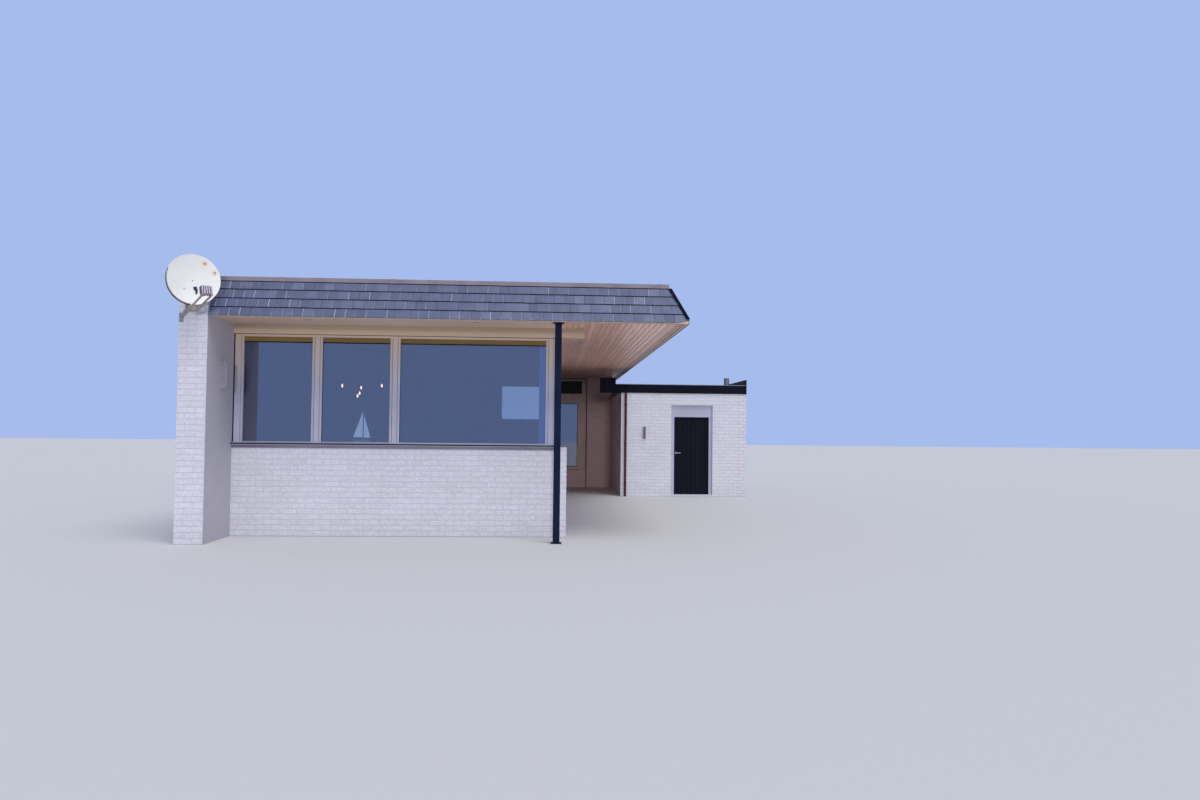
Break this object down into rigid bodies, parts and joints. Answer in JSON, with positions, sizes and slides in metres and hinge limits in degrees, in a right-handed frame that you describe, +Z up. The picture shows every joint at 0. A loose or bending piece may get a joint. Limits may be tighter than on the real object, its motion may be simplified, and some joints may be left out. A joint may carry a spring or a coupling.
{
  "type": "single-storey beach house with a covered terrace and an annex",
  "caption": "Deep single-storey beach house: slated eaves, picture window, covered side terrace, low brick annex with doors that open, satellite dish on the front pier.",
  "frame": {"origin": "on the ground under the middle of the living room's floor slab", "axes": "+X to the right seen from the street, +Y along the house to its back, +Z up"},
  "size_m": [10.215, 16.8565, 4.0249],
  "materials": {
    "painted_brick": "white-painted brick",
    "painted_taupe": "brown-painted brick",
    "concrete": "screeded concrete",
    "painted_frame": "off-white gloss paint",
    "blind_case": "olive-brown satin",
    "glass": "clear",
    "roof_felt": "grey mineral felt",
    "soffit_boards": "painted boards",
    "slate": "blue-grey fibre slate",
    "coping_metal": "brown-grey sheet",
    "dark_trim": "black-blue paint",
    "drip_metal": "weathered sheet",
    "brown_wood": "brown stain",
    "dark_door": "near-black paint",
    "lever_steel": "satin",
    "lamp_grey": "grey powder coat",
    "pipe_brown": "red-brown paint",
    "dish_paint": "off-white, rust spots",
    "dish_metal": "grey, weathered",
    "feed_plastic": "weathered grey"
  },
  "bodies": {
    "house": {"living_floor": "concrete", "hall_floor": "concrete", "annex_floor": "concrete", "party_wall": "painted_brick", "party_wall_cap": "coping_metal", "front_wall": "painted_brick", "window_header": "painted_brick", "side_wall": "painted_brick", "rear_wall": "painted_brick", "hall_wall": "painted_brick", "end_wall": "painted_taupe", "door_plinths": "painted_brick", "door_lintels": "painted_brick", "front_window_frame": "painted_frame", "blind_boxes": "blind_case", "window_sills": "painted_frame", "plain_window_frames": "painted_frame", "window_glass": "glass", "roof_deck": "roof_felt", "soffit_boards": "soffit_boards", "front_slope": "slate", "right_slope": "slate", "rear_slope": "slate", "roof_coping": "coping_metal", "eaves_trim": "dark_trim", "terrace_column": "dark_trim", "annex_left_wall": "painted_brick", "annex_party_wall": "painted_brick", "annex_rear_wall": "painted_brick", "annex_front_wall": "painted_brick", "annex_roof": "roof_felt", "annex_canopy": "roof_felt", "annex_fascia": "dark_trim", "annex_upstand": "dark_trim", "annex_drip": "drip_metal", "terrace_door_frame": "brown_wood", "annex_door_frame": "painted_frame", "wall_lamps": "lamp_grey", "downlights": "lamp_grey", "downpipe": "pipe_brown", "roof_vent": "drip_metal", "dish_reflector": "dish_paint", "dish_feed": "feed_plastic", "dish_bracket": "dish_metal", "dish_mast": "dish_metal", "door_hinges": "lever_steel"},
    "terrace_door": {"terrace_door_leaf": "brown_wood", "terrace_door_glass": "glass", "terrace_door_fittings": "lever_steel"},
    "annex_door": {"annex_door_leaf": "dark_door", "annex_door_fittings": "lever_steel"}
  },
  "joints": [
    {"name": "terrace_door_hinge", "type": "hinge", "parent": "house", "child": "terrace_door", "pos_m": [3.39, 5.038, 1.5], "axis": [0, 0, -1], "range_deg": [0, 100]},
    {"name": "annex_door_hinge", "type": "hinge", "parent": "house", "child": "annex_door", "pos_m": [6.535, 1.598, 1], "axis": [0, 0, -1], "range_deg": [0, 100]}
  ]
}
